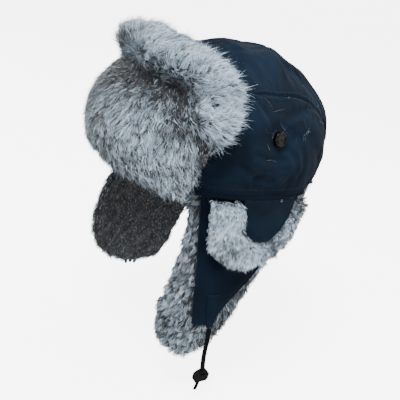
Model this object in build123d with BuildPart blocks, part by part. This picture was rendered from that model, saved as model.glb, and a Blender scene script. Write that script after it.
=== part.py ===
from build123d import *
import os
from math import cos, radians, sin

# Trapper hat, millimetres. +Z up, -Y is the brow, +X is the wearer's left.
# The origin is the middle of the head opening, in the plane of the crown's lower edge.

# ---- Driving dimensions -------------------------------------------------------------
half_width = 93            # crown at its lower edge, outside the cloth
half_length = 113
wall_heading = 80          # degrees; the crown's wall first leans out, then bulges over
wall_bends = [(140, 26), (47, 25), (150, 30)]    # radius and turn of each arc of the wall
top_turn = 19              # the last arc ends level at the top
panel_seam = 67            # the side panels start this far from the middle
cloth = 1.2
wadding = 4.0
lining = 0.8
band = 1.6
band_height = 32

button_height = 58
button_out = 90.7          # the cloth's distance from the middle at the button
button_tilt = 14           # degrees that the side panel leans in there
button_radius = 7.5
post_radius = 1.5

flare = 5                  # degrees that the side flaps hang outward
side_bend = 170            # bend radius of the side flaps around the head
back_bend = half_width     # the neck flap follows the round back

strap_width = 6
strap_thickness = 1.5

straight = half_length - half_width    # the crown's ends are round, its sides straight between
hole_reach = 15
reach = 240                # longer than any flap, for cutting tools

os.makedirs("parts", exist_ok=True)


def finish(piece, name):
    """Label a piece, write it under its name and print its volume."""
    piece.part.label = name
    export_step(piece.part, f"parts/{name}.step")
    print(f"{name}: {len(piece.part.solids())} solid, {piece.part.volume:.0f} mm3")


def finish_pair(piece, name):
    """Write a left piece and its mirror image, whose name starts with right."""
    finish(piece, f"left_{name}")
    with BuildPart() as other:
        mirror(piece.part, about=Plane.YZ)
    finish(other, f"right_{name}")


# ---- Crown ------------------------------------------------------------------------
# Its plan is two half circles joined by straight sides. The same wall runs all round.
front_axis = Axis((0, -straight, 0), (0, 0, 1))


def wall(inset):
    """Arcs from the crown's lower edge to the top, moved inwards by inset (outwards if negative)."""
    heading = radians(wall_heading)
    edge = Vector(half_width, 0) - Vector(sin(heading), -cos(heading)) * inset
    radius, turn = wall_bends[0]
    start_way = (cos(heading), sin(heading))
    arcs = [JernArc(start=edge, tangent=start_way, radius=radius - inset, arc_size=turn)]
    for radius, turn in wall_bends[1:]:
        last = arcs[-1]
        arcs.append(JernArc(start=last @ 1, tangent=last % 1, radius=radius - inset, arc_size=turn))
    last = arcs[-1]
    top_radius = (last @ 1).X / sin(radians(top_turn))
    arcs.append(JernArc(start=last @ 1, tangent=last % 1, radius=top_radius, arc_size=top_turn))
    return arcs


def dome_layer(inset, thickness):
    """One whole layer of the crown, its outside inset from the outer cloth."""
    with BuildPart() as layer:
        with BuildSketch(Plane.XZ.offset(straight)) as profile:
            with BuildLine():
                outside = wall(inset)
                inside = wall(inset + thickness)
                Line(outside[0] @ 0, inside[0] @ 0)
                Line(outside[-1] @ 1, inside[-1] @ 1)
            make_face()
        front = revolve(axis=front_axis, revolution_arc=-180, clean=False)
        left_side = extrude(profile.sketch, amount=-2 * straight, clean=False)
        add(mirror(front, about=Plane.XZ, mode=Mode.PRIVATE), clean=False)
        add(mirror(left_side, about=Plane.YZ, mode=Mode.PRIVATE), clean=False)
    return layer.part


def above_button(distance, side=1):
    """Plane across a button's axis, at a distance outside the cloth."""
    normal = Vector(side * cos(radians(button_tilt)), 0, sin(radians(button_tilt)))
    middle = Vector(side * button_out, 0, button_height)
    return Plane(origin=middle + normal * distance, x_dir=(0, 1, 0), z_dir=normal)


def pierced_layer(inset, thickness):
    """A layer of the crown with the holes that the button posts pass through."""
    with BuildPart() as layer:
        add(dome_layer(inset, thickness))
        with BuildSketch(above_button(0, 1), above_button(0, -1)):
            Circle(post_radius)
        extrude(amount=hole_reach, both=True, mode=Mode.SUBTRACT)
    return layer.part


wadding_in = cloth
lining_in = wadding_in + wadding
band_in = lining_in + lining
left_seam = Plane.YZ.offset(panel_seam)
right_seam = Plane.YZ.offset(-panel_seam)

layers = [(0, cloth, "crown_side_panel", "crown_top_panel"),
          (lining_in, lining, "crown_lining_side", "crown_lining_top")]
for inset, thickness, side_name, top_name in layers:
    layer = pierced_layer(inset, thickness)
    with BuildPart() as top_panel:
        add(layer)
        split(bisect_by=left_seam, keep=Keep.BOTTOM)
        split(bisect_by=right_seam, keep=Keep.TOP)
    finish(top_panel, top_name)
    with BuildPart() as left_panel:
        add(layer)
        split(bisect_by=left_seam, keep=Keep.TOP)
    finish(left_panel, f"left_{side_name}")
    with BuildPart() as right_panel:
        add(layer)
        split(bisect_by=right_seam, keep=Keep.BOTTOM)
    finish(right_panel, f"right_{side_name}")

with BuildPart() as crown_wadding:
    add(pierced_layer(wadding_in, wadding))
finish(crown_wadding, "crown_wadding")

with BuildPart() as sweatband:
    add(dome_layer(band_in, band))
    split(bisect_by=Plane.XY.offset(band_height), keep=Keep.BOTTOM)
finish(sweatband, "sweatband")

# ---- Tack buttons on the side panels --------------------------------------------------
# A domed cap outside, a post through the layers and a washer inside the lining.
cap_rest = 0.6             # the flat cap stands on the round panel
cap_thickness = 3.4
cap_round = 1.5
washer_radius = 5
washer_rest = -9.2
washer_thickness = 1.0

with BuildPart() as button_cap:
    with BuildSketch(above_button(cap_rest)):
        Circle(button_radius)
    extrude(amount=cap_thickness)
    cap_axis = Axis(above_button(0).origin, above_button(0).z_dir)
    fillet(button_cap.edges().group_by(cap_axis)[-1], radius=cap_round)
    with BuildSketch(above_button(cap_rest + cap_thickness)):
        Circle(button_radius - 2.2)
        Circle(button_radius - 3.0, mode=Mode.SUBTRACT)
    extrude(amount=-0.5, mode=Mode.SUBTRACT)
finish_pair(button_cap, "button_cap")

with BuildPart() as button_post:
    with BuildSketch(above_button(washer_rest)):
        Circle(post_radius)
    extrude(amount=cap_rest - washer_rest)
finish_pair(button_post, "button_post")

with BuildPart() as button_washer:
    with BuildSketch(above_button(washer_rest - washer_thickness)):
        Circle(washer_radius)
    extrude(amount=washer_thickness)
finish_pair(button_washer, "button_washer")

# ---- Front flap, turned up against the crown ------------------------------------------
flap_gap = 1.0             # from the crown's cloth to the flap's cloth
felt = 1.6                 # interlining that keeps the flap up
felt_gap = 0.1
fur_out = flap_gap + cloth + felt_gap + felt + 0.3

# The fur's face at the brow, as distances from the axis of the crown's round front.
fur_face = [(101.5, -9), (116, -8), (127, 4), (132, 28), (126, 57), (111, 79), (106, 92),
            (108, 106), (98, 118), (80, 126), (60, 128.5), (44, 128)]
fur_foot = (97.6, 0.5)
# The flap's rear limit seen from the side, from the temple up to the crown's top.
rear_limit = [(-86, -14), (-80, 4), (-74, 25), (-66, 48), (-57, 70), (-54, 88), (-57, 104), (-76, 130)]
front_limit = -200
fur_plan = (113, 156)      # half-axes of the fur seen from above, thinner at the temples


def cut_to_flap(solid, trim):
    """Keep what lies in front of the flap's rear limit, moved forward by trim."""
    limit = [(y - trim, z) for y, z in rear_limit]
    with BuildPart() as kept:
        add(solid)
        with BuildSketch(Plane.YZ):
            with BuildLine():
                rear = Spline(*limit)
                Polyline(rear @ 1, (front_limit, limit[-1][1]), (front_limit, limit[0][1]), rear @ 0)
            make_face()
        extrude(amount=1.5 * half_width, both=True, mode=Mode.INTERSECT)
    return kept.part


def flap_layer(outset, thickness, trim, foot, top):
    """A thin layer that follows the crown's front between two heights."""
    with BuildPart() as layer:
        add(dome_layer(-outset - thickness, thickness))
        split(bisect_by=Plane.XY.offset(foot), keep=Keep.TOP)
        split(bisect_by=Plane.XY.offset(top), keep=Keep.BOTTOM)
    return cut_to_flap(layer.part, trim)


with BuildPart() as front_flap_shell:
    add(flap_layer(flap_gap, cloth, 14, 4, 112))
finish(front_flap_shell, "front_flap_shell")

with BuildPart() as front_flap_interlining:
    add(flap_layer(flap_gap + cloth + felt_gap, felt, 18, 8, 104))
finish(front_flap_interlining, "front_flap_interlining")

with BuildPart() as crown_room:
    with BuildSketch(Plane.XZ.offset(straight)):
        with BuildLine():
            outside = wall(-fur_out)
            Polyline(outside[-1] @ 1, (0, 0), outside[0] @ 0)
        make_face()
    revolve(axis=front_axis, revolution_arc=-180, clean=False)
with BuildPart() as fur_mass:
    with BuildSketch(Plane.XZ.offset(straight)):
        with BuildLine():
            face = Spline(*fur_face)
            Polyline(face @ 1, (0, (face @ 1).Y), (0, fur_foot[1]), fur_foot, face @ 0)
        make_face()
    revolve(axis=front_axis, revolution_arc=-180)
    add(crown_room.part, mode=Mode.SUBTRACT)
    with BuildSketch(Plane.XY.offset(-20)):
        Ellipse(*fur_plan)
    extrude(amount=reach, mode=Mode.INTERSECT)
with BuildPart() as front_flap_fur:
    add(cut_to_flap(fur_mass.part, 0))
finish(front_flap_fur, "front_flap_fur")

# ---- Side flaps: an ear flap and the short fur-edged cuff over it -------------------------
# Both are sewn to the crown's edge and hang from it, a little outward.
hinge_out = half_width
hinge_drop = -2
out = Vector(cos(radians(flare)), 0, sin(radians(flare)))
up = Vector(-sin(radians(flare)), 0, cos(radians(flare)))
hinge = Vector(hinge_out, 0, hinge_drop)
facing = Plane(origin=hinge, x_dir=(0, 1, 0), z_dir=out)
hanging = Plane(origin=hinge, x_dir=out, z_dir=up)

# Layers as distances outward from the hinge, from the head to the outside.
pelt_layer = (-17, -5)
ear_shell_layer = (-4.6, -3.1)
cuff_backing_layer = (-2.6, -0.3)
cuff_shell_layer = (0, 1.4)
cuff_roll = 14
cuff_slope = 35            # the roll thins towards the seam so that the flap can be lifted

# Outlines in (y, height above the hinge), from the front corner round to the rear one.
# The same pelts lie differently: the left one hangs narrow, the right one is spread forward.
left_pelt_outline = [(-65, -2), (-63, -40), (-64, -72), (-70, -100), (-78, -130), (-78, -155), (-68, -179),
                     (-50, -192), (-30, -188), (-12, -172), (6, -148), (20, -120), (36, -92), (50, -56), (60, -2)]
right_pelt_outline = [(-76, -2), (-84, -32), (-93, -62), (-97, -92), (-93, -125), (-80, -154), (-56, -177),
                      (-20, -192), (8, -190), (25, -170), (33, -138), (40, -100), (51, -56), (60, -2)]
ear_front = [(-62, -2), (-58, -38), (-53, -75), (-49, -110), (-45, -149)]
ear_rear = [(-23, -150), (-13, -130), (4, -108), (23, -86), (42, -56), (56, -2)]
cuff_outline = [(-56, -3), (-55, -34), (-49, -57), (-36, -69), (-18, -74), (2, -73), (24, -68), (45, -54),
                (60, -32), (66, -3)]
window_outline = [(-22, 3), (-19, -22), (-11, -40), (4, -51), (20, -52), (34, -43), (46, -26), (55, 3)]
seam_gap = 1


def smooth_outline(points):
    """A face with one smooth edge through the points and a straight top."""
    with BuildSketch() as shape:
        with BuildLine():
            edge = Spline(*points)
            Line(edge @ 1, edge @ 0)
        make_face()
    return shape.sketch


def bent_slab(layer, outline):
    """A layer bent around the side of the head and cut to an outline seen from the side."""
    inner, outer = layer
    with BuildPart() as slab:
        with BuildSketch(hanging):
            with Locations((-side_bend, 0)):
                Circle(side_bend + outer)
                Circle(side_bend + inner, mode=Mode.SUBTRACT)
        extrude(amount=reach, both=True)
        with BuildSketch(facing):
            add(outline)
        extrude(amount=half_width / 2, both=True, mode=Mode.INTERSECT)
    return slab.part


with BuildPart() as left_ear_fur:
    add(bent_slab(pelt_layer, smooth_outline(left_pelt_outline)))
finish(left_ear_fur, "left_ear_flap_fur")
with BuildPart() as right_ear_fur:
    mirror(bent_slab(pelt_layer, smooth_outline(right_pelt_outline)), about=Plane.YZ)
finish(right_ear_fur, "right_ear_flap_fur")

with BuildSketch() as ear_shape:
    with BuildLine():
        front_edge = Spline(*ear_front)
        rear_edge = Spline(*ear_rear)
        Line(front_edge @ 1, rear_edge @ 0)
        Line(rear_edge @ 1, front_edge @ 0)
    make_face()
    fillet(ear_shape.vertices().group_by(Axis.Y)[0], radius=5)
with BuildPart() as ear_shell:
    add(bent_slab(ear_shell_layer, ear_shape.sketch))
finish_pair(ear_shell, "ear_flap_shell")

with BuildPart() as cuff_shell:
    add(bent_slab(cuff_shell_layer, smooth_outline(window_outline)))
    split(bisect_by=Plane.XY.offset(hinge_drop - seam_gap), keep=Keep.BOTTOM)
finish_pair(cuff_shell, "cuff_shell")

roll_top = Plane(origin=hinge - 6 * up, x_dir=(0, 1, 0), z_dir=up + out * sin(radians(cuff_slope)))
with BuildPart() as cuff_fur:
    add(bent_slab((cuff_backing_layer[0], cuff_roll), smooth_outline(cuff_outline)))
    add(bent_slab((cuff_backing_layer[1], cuff_roll + 5), smooth_outline(window_outline)), mode=Mode.SUBTRACT)
    split(bisect_by=roll_top, keep=Keep.BOTTOM)
finish_pair(cuff_fur, "cuff_fur")

# ---- Neck flap at the back, between the cuffs ----------------------------------------------
neck_drop = -3
neck_hinge = Vector(0, half_length, neck_drop)
neck_fur_layer = (-14, 2.5)
neck_shell_layer = (3, 4.4)
neck_outline = [(-58, 0), (-60, -50), (-50, -84), (-22, -97), (22, -97), (50, -84), (60, -50), (58, 0)]
neck_window = [(-44, 0), (-44, -34), (-30, -62), (0, -70), (30, -62), (44, -34), (44, 0)]
behind = Plane(origin=neck_hinge, x_dir=(-1, 0, 0), z_dir=(0, 1, 0))


def neck_slab(layer, outline):
    """A layer bent around the back of the head and cut to an outline seen from behind."""
    inner, outer = layer
    with BuildPart() as slab:
        with BuildSketch(Plane.XY.offset(neck_drop)):
            with Locations((0, half_length - back_bend)):
                Circle(back_bend + outer)
                Circle(back_bend + inner, mode=Mode.SUBTRACT)
        extrude(amount=-reach)
        with BuildSketch(behind):
            add(outline)
        extrude(amount=half_length / 2, both=True, mode=Mode.INTERSECT)
    return slab.part


with BuildPart() as neck_flap_fur:
    add(neck_slab(neck_fur_layer, smooth_outline(neck_outline)))
finish(neck_flap_fur, "neck_flap_fur")

with BuildPart() as neck_flap_shell:
    add(neck_slab(neck_shell_layer, smooth_outline(neck_window)))
finish(neck_flap_shell, "neck_flap_shell")

# ---- Straps --------------------------------------------------------------------------------
# A folded cloth tab is stitched to the ear flap's shell, and webbing hangs from its end.
tab_top = -112
tab_end = -152
tab_thickness = 1.6
tab_outline = [(-35, tab_top), (-21, tab_top), (-21.5, tab_end), (-28.5, tab_end)]
tab_layer = (-3.0, -3.0 + tab_thickness)

with BuildSketch() as tab_shape:
    with BuildLine():
        Polyline(*tab_outline, close=True)
    make_face()
with BuildPart() as strap_tab:
    add(bent_slab(tab_layer, tab_shape.sketch))
finish_pair(strap_tab, "strap_tab")


def hung(y, depth, outward):
    """A point on the side flap, from its place seen from the side and its layer."""
    bow = side_bend - (side_bend ** 2 - y ** 2) ** 0.5
    return hinge - up * depth + out * (outward - bow) + Vector(0, y, 0)


# Webbing routes, seen on the left side: each leaves the tab's lower end and hangs down over the fur.
# The left strap is long and adjustable; the right one is short and fixed.
strap_start = hung(-25, -tab_end + 1.6, -2.2)
left_drops = [(0, 0, 0), (3.2, 0.2, -12), (5.0, -0.6, -26), (5.4, 1.0, -40), (5.2, 4.0, -54)]
right_drops = [(0, 0, 0), (2.4, 1.4, -8.5), (4.0, 3.4, -17.5), (5.0, 5.8, -26.5), (5.4, 8.0, -35.4)]
strap_ends = {}

for side, side_name, drops in [(1, "left", left_drops), (-1, "right", right_drops)]:
    strap_route = []
    for across, back, down in drops:
        spot = strap_start + Vector(across, back, down)
        strap_route.append(Vector(side * spot.X, spot.Y, spot.Z))
    runs = [b - a for a, b in zip(strap_route, strap_route[1:])]
    radii = []
    for before, after in zip(runs, runs[1:]):
        half_turn = radians(before.get_angle(after) / 2)
        radii.append(0.45 * min(before.length, after.length) * cos(half_turn) / sin(half_turn))
    print(side_name, "strap radii", [round(r) for r in radii], "from", strap_route[0], "to", strap_route[-1])
    strap_ends[side] = strap_route[-1]
    with BuildLine() as strap_line:
        FilletPolyline(*strap_route, radius=radii)
    strap_path = strap_line.wire()
    with BuildPart() as strap:
        with BuildSketch(Plane(origin=strap_path @ 0, x_dir=(0, 1, 0), z_dir=strap_path % 0)):
            Rectangle(strap_width, strap_thickness)
        sweep(path=strap_path)
    section = strap_width * strap_thickness
    print(f"strap length {strap_path.length:.1f}, volume over section {strap.part.volume / section:.1f}")
    finish(strap, f"{side_name}_strap")

# ---- Buckle halves and strap ends --------------------------------------------------------------
# The left strap carries the socket half and the right one the pronged half.
buckle_thickness = 5.5
buckle_wall = 1.1
bar = 1.8
slot = (strap_width + 1.4, 2.4)
socket_outline = [(5.5, 0), (9, -3.5), (9, -10), (7, -13.5), (-7, -13.5), (-9, -10), (-9, -3.5), (-5.5, 0)]
socket_height = 13.5
mouth = (13, 8)
window = (4, 4.6)
window_drop = 8.2
prong_outline = [(2.6, 0), (6.2, 0), (6.6, -6), (8.4, -7.5), (7.8, -10.5), (5.4, -12), (4.8, -10.8), (5.2, -6)]
base_outline = [(5.5, 0), (8.5, -3), (8.5, -7), (-8.5, -7), (-8.5, -3), (-5.5, 0)]
base_height = 7
guide = (2.4, 9)
prong_thickness = 2.8
corner = 0.8
strap_gap = 0.4


def at_buckle(side):
    """Plane across a strap's end, just below it; its X is toward the back, its Y is up."""
    return Plane(origin=strap_ends[side] - Vector(0, 0, strap_gap), x_dir=(0, 1, 0), z_dir=(1, 0, 0))


with BuildPart() as socket_half:
    with BuildSketch(at_buckle(1)):
        with BuildLine():
            Polyline(*socket_outline, close=True)
        make_face()
        fillet(vertices(), radius=corner)
    extrude(amount=buckle_thickness / 2, both=True)
    with BuildSketch(at_buckle(1)):
        with Locations((0, -bar - slot[1] / 2)):
            SlotCenterToCenter(slot[0] - slot[1], slot[1])
    extrude(amount=buckle_thickness, both=True, mode=Mode.SUBTRACT)
    with BuildSketch(at_buckle(1)):
        with Locations((0, -socket_height + mouth[1] / 2)):
            Rectangle(*mouth)
        with Locations((9, -window_drop), (-9, -window_drop)):
            Rectangle(2 * window[0], window[1])
    extrude(amount=buckle_thickness / 2 - buckle_wall, both=True, mode=Mode.SUBTRACT)
finish(socket_half, "left_buckle_socket")

with BuildPart() as pronged_half:
    with BuildSketch(at_buckle(-1)):
        with BuildLine():
            Polyline(*base_outline, close=True)
        make_face()
        fillet(vertices(), radius=corner)
    extrude(amount=buckle_thickness / 2, both=True)
    with BuildSketch(at_buckle(-1)):
        with Locations((0, -bar - slot[1] / 2)):
            SlotCenterToCenter(slot[0] - slot[1], slot[1])
    extrude(amount=buckle_thickness, both=True, mode=Mode.SUBTRACT)
    with BuildSketch(at_buckle(-1)):
        for side in (1, -1):
            with BuildLine():
                Polyline(*[(side * y, z - base_height + 1) for y, z in prong_outline], close=True)
            make_face()
        with Locations((0, -base_height - guide[1] / 2 + 0.5)):
            Rectangle(guide[0], guide[1] + 1)
    extrude(amount=prong_thickness / 2, both=True)
finish(pronged_half, "right_buckle_prongs")

# The left strap's free end comes out behind the buckle and hangs below it.
tail_length = 31
tail_gap = 0.4
tail_top = strap_ends[1] + Vector(-(buckle_thickness + strap_thickness) / 2 - tail_gap, 0, -bar)
with BuildPart() as strap_tail:
    with BuildSketch(Plane(origin=tail_top, x_dir=(0, 1, 0), z_dir=(-0.04, 0.08, -1))):
        Rectangle(strap_width - 1, strap_thickness)
    extrude(amount=tail_length)
finish(strap_tail, "left_strap_tail")
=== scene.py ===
"""Trapper hat: padded crown, fur front flap, fur-lined ear flaps with cuffs, neck flap and chin straps."""
from contextlib import contextmanager
from math import copysign, cos, pi, radians, sin, sqrt

import bmesh
import bpy
import numpy as np
from mathutils import Matrix, Vector
from mathutils.bvhtree import BVHTree
from mathutils.kdtree import KDTree
from numpy.linalg import norm


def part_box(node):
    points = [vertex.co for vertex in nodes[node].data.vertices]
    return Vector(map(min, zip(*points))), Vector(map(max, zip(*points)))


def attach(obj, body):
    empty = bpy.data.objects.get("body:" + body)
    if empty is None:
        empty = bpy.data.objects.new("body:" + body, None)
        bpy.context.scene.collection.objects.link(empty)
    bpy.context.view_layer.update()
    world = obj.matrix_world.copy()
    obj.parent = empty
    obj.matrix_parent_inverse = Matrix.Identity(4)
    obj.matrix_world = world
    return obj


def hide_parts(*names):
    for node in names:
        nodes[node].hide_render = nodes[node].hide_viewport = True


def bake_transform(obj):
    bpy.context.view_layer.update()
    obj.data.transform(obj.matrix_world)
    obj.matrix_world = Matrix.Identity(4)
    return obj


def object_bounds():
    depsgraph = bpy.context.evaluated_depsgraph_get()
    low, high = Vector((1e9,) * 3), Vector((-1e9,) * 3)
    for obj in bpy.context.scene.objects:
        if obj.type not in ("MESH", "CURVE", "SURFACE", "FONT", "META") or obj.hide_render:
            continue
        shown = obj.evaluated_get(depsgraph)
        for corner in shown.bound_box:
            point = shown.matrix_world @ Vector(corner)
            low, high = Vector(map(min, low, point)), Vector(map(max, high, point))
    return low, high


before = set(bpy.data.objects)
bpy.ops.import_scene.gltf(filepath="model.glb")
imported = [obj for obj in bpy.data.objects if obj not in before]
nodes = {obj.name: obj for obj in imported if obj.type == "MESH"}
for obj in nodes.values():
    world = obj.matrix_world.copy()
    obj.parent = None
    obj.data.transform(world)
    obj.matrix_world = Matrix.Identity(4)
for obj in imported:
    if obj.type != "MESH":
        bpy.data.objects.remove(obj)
cad_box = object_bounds()
MM = 0.001
FAR = 0.3                   # a ray that starts this far away is outside the hat
SIDES = (("left", 1), ("right", -1))
scene = bpy.context.scene


# ---- Mesh helpers ----
def link(name, data, material=None):
    piece = bpy.data.objects.new(name, data)
    scene.collection.objects.link(piece)
    if material:
        data.materials.append(material)
    return piece


def mesh_of(name, points, faces, smooth=True):
    mesh = bpy.data.meshes.new(name)
    mesh.from_pydata([tuple(p) for p in points], [], [tuple(f) for f in faces])
    mesh.update()
    if smooth:
        mesh.shade_smooth()
    return mesh


def quads(rows, count, closed=True):
    """Faces between successive rows of count points."""
    steps = range(count if closed else count - 1)
    corners = [(r * count, i, (i + 1) % count) for r in range(rows - 1) for i in steps]
    return [(base + i, base + j, base + count + j, base + count + i) for base, i, j in corners]


def applied(piece):
    """Replace a piece's mesh by what its modifiers make of it."""
    bpy.context.view_layer.update()
    evaluated = piece.evaluated_get(bpy.context.evaluated_depsgraph_get())
    mesh = bpy.data.meshes.new_from_object(evaluated)
    piece.modifiers.clear()
    old = piece.data
    piece.data = mesh
    bpy.data.meshes.remove(old)
    mesh.shade_smooth()


def thicken(piece, thickness, offset=-1, order=("SOLIDIFY", "SUBSURF")):
    """Give a sheet its thickness and round it."""
    for kind in order:
        change = piece.modifiers.new(kind, kind)
        if kind == "SOLIDIFY":
            change.thickness, change.offset = thickness, offset
        else:
            change.levels = change.render_levels = 1
    applied(piece)


@contextmanager
def reshaped(mesh, result=None):
    """A mesh opened for editing; what comes of it goes back to it, or to another mesh."""
    shape = bmesh.new()
    shape.from_mesh(mesh)
    yield shape
    shape.to_mesh(result or mesh)
    shape.free()


def stand_in(piece, body, slot, *stands_for, fill):
    """Attach a soft piece to the body it rides on and hide the CAD nodes it replaces."""
    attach(piece, body)
    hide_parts(*stands_for)


def repaint(mesh, material):
    mesh.materials.clear()
    mesh.materials.append(material)


def arrays(mesh):
    """A mesh's points and their normals."""
    count = len(mesh.vertices)
    points = np.zeros(count * 3)
    normals = np.zeros(count * 3)
    mesh.vertices.foreach_get("co", points)
    mesh.vertices.foreach_get("normal", normals)
    return points.reshape(-1, 3), normals.reshape(-1, 3)


def move_points(mesh, points):
    mesh.vertices.foreach_set("co", np.asarray(points).ravel())
    mesh.update()


def unit(v):
    return v / np.maximum(norm(v, axis=-1, keepdims=True), 1e-12)


def ramp(low_edge, high_edge, x):
    """A smooth step from 0 at one edge to 1 at the other."""
    t = np.clip((x - low_edge) / (high_edge - low_edge), 0, 1)
    return t * t * (3 - 2 * t)


def bell(x, width):
    return np.exp(-((x / width) ** 2))


def ripple(points, size, seed):
    """Smooth noise from about -1 to 1 whose bumps are about this size."""
    draw = np.random.default_rng(seed)
    waves = draw.normal(size=(9, 3)) * (2.2 / size)
    phases = draw.uniform(0, 2 * pi, 9)
    return np.sin(points @ waves.T + phases).sum(1) / 3


def near_line(points, line):
    """Distance from each point to a run of straight pieces."""
    best = np.full(len(points), 1e9)
    for a, b in zip(line, line[1:]):
        d = b - a
        t = np.clip(((points - a) @ d) / (d @ d), 0, 1)
        best = np.minimum(best, norm(points - (a + t[:, None] * d), axis=1))
    return best


def along_line(points, places):
    """Points along a line, at the distances that places gives for its length."""
    points = np.array(points)
    steps = np.r_[0, np.cumsum(norm(np.diff(points, axis=0), axis=1))]
    return np.stack([np.interp(places(steps[-1]), steps, column) for column in points.T], 1)


def tree_of(*meshes):
    """A search tree over several meshes."""
    points, faces = [], []
    for mesh in meshes:
        start = len(points)
        points += [v.co.copy() for v in mesh.vertices]
        faces += [[start + i for i in f.vertices] for f in mesh.polygons]
    return BVHTree.FromPolygons(points, faces)


# ---- Camera ----
VIEW_RIGHT = Vector((0.4811, 0.8440, 0.2371))
VIEW_UP = Vector((-0.4643, 0.0159, 0.8855))
CAMERA_PLACE = (0.4783, -0.3508, 0.2025)
LENS = 50.5

camera_data = bpy.data.cameras.new("camera")
camera_data.lens = LENS
camera_data.sensor_width = 36
camera = link("camera", camera_data)
turn = Matrix((VIEW_RIGHT, VIEW_UP, VIEW_RIGHT.cross(VIEW_UP))).transposed()
camera.matrix_world = Matrix.Translation(CAMERA_PLACE) @ turn.to_4x4()
scene.camera = camera

# ---- Materials ----
BANDS_PER_SCALE = 0.314     # a wave texture of scale 1 repeats at this pitch


class Paint:
    """A material and short ways to add its nodes."""

    def __init__(self, name, **inputs):
        self.material = bpy.data.materials.new(name)
        self.material.use_nodes = True
        self.tree = self.material.node_tree
        self.shader = self.tree.nodes["Principled BSDF"]
        for key, value in inputs.items():
            self.shader.inputs[key.replace("_", " ")].default_value = value
        self.place = None

    def node(self, kind, settings=None, **inputs):
        made = self.tree.nodes.new(kind)
        for key, value in (settings or {}).items():
            setattr(made, key, value)
        for key, value in inputs.items():
            self.into(value, made.inputs[key.replace("_", " ")])
        return made

    def into(self, value, socket):
        if isinstance(value, bpy.types.NodeSocket):
            self.tree.links.new(value, socket)
        else:
            socket.default_value = value

    def where(self):
        if self.place is None:
            self.place = self.node("ShaderNodeTexCoord").outputs["Object"]
        return self.place

    def noise(self, size, detail=3.0, distortion=0.0):
        made = self.node("ShaderNodeTexNoise", Vector=self.where(), Scale=1 / size, Detail=detail,
                         Distortion=distortion)
        return made.outputs["Fac"]

    def bands(self, pitch, direction, turned, distortion):
        spot = self.node("ShaderNodeMapping", Vector=self.where(), Rotation=turned).outputs["Vector"]
        made = self.node("ShaderNodeTexWave", {"bands_direction": direction}, Vector=spot,
                         Scale=BANDS_PER_SCALE / pitch, Distortion=distortion)
        return made.outputs["Fac"]

    def blend(self, factor, a, b):
        made = self.node("ShaderNodeMix", {"data_type": "RGBA"})
        self.into(factor, made.inputs["Factor"])
        self.into(a, made.inputs["A"])
        self.into(b, made.inputs["B"])
        return made.outputs["Result"]

    def math(self, operation, a, b):
        made = self.node("ShaderNodeMath", {"operation": operation})
        self.into(a, made.inputs[0])
        self.into(b, made.inputs[1])
        return made.outputs["Value"]

    def span(self, value, from_low, from_high, to_low=0.0, to_high=1.0):
        made = self.node("ShaderNodeMapRange", Value=value)
        for i, bound in enumerate((from_low, from_high, to_low, to_high), 1):
            made.inputs[i].default_value = bound
        return made.outputs["Result"]

    def finish(self, color, rough, height, strength, depth):
        self.into(color, self.shader.inputs["Base Color"])
        self.into(rough, self.shader.inputs["Roughness"])
        bump = self.node("ShaderNodeBump", Strength=strength, Distance=depth, Height=height)
        self.into(bump.outputs["Normal"], self.shader.inputs["Normal"])
        return self.material


def rgb(r, g, b):
    """A linear colour from 0-255 screen values."""
    linear = [((v / 255 + 0.055) / 1.055) ** 2.4 if v > 10 else v / 255 / 12.92 for v in (r, g, b)]
    return (*linear, 1.0)


def cloth_paint(name, dark, light, worn, twill=0.8, sheen=0.02, rough=(0.82, 0.95)):
    """Woven cotton: twill lines, thread noise, faint shade changes, and paler rubbed edges."""
    dark, light, worn = rgb(*dark), rgb(*light), rgb(*worn)
    paint = Paint(name, Sheen_Weight=sheen, Sheen_Roughness=0.5, Specular_IOR_Level=0.06)
    across = paint.bands(twill * MM, "DIAGONAL", (0.2, 0.1, 0.4), 0.6)
    along = paint.bands(twill * 0.7 * MM, "Z", (0.05, 0.0, 0.0), 0.8)
    thread = paint.math("MULTIPLY", across, along)
    cloudy = paint.span(paint.noise(0.045, 4.0, 0.4), 0.35, 0.7)
    fine = paint.noise(0.0016, 5.0)
    tone = paint.blend(paint.math("MULTIPLY", cloudy, 0.8), dark, light)
    tone = paint.blend(paint.span(thread, 0.2, 0.9, 0.0, 0.35), tone, light)
    edge = paint.span(paint.node("ShaderNodeNewGeometry").outputs["Pointiness"], 0.52, 0.62, 0.0, 0.5)
    tone = paint.blend(paint.math("MULTIPLY", edge, fine), tone, worn)
    height = paint.math("ADD", thread, paint.math("MULTIPLY", fine, 0.6))
    return paint.finish(tone, paint.span(cloudy, 0.0, 1.0, *rough), height, 0.35, 0.00025)


navy = cloth_paint("navy_twill", (6, 13, 23), (12, 28, 44), (34, 52, 72))
# Painted light: a lighter copy of the same navy twill, used on the crown and the cuff panels.
lit_navy = cloth_paint("lit_navy_twill", (10, 18, 28), (19, 35, 51), (44, 62, 80))
lining_cloth = cloth_paint("quilted_lining", (16, 18, 24), (28, 32, 42), (60, 64, 74), 0.5, 0.1, (0.5, 0.65))
band_cloth = cloth_paint("sweatband_satin", (12, 13, 16), (22, 24, 30), (50, 52, 58), 0.35, 0.1, (0.45, 0.6))
webbing_cloth = cloth_paint("black_webbing", (3, 4, 6), (7, 9, 13), (24, 26, 32), 1.1, 0.02, (0.7, 0.9))
thread_cloth = cloth_paint("navy_thread", (14, 24, 36), (30, 46, 64), (60, 78, 96), 0.4, 0.1, (0.5, 0.7))


def moulded_paint():
    paint = Paint("buckle_moulding", Specular_IOR_Level=0.12)
    grain = paint.noise(0.0006, 4.0)
    tone = paint.blend(paint.noise(0.006), rgb(3, 3, 4), rgb(8, 8, 10))
    return paint.finish(tone, paint.span(grain, 0.3, 0.7, 0.5, 0.68), grain, 0.15, 0.00005)


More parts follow.
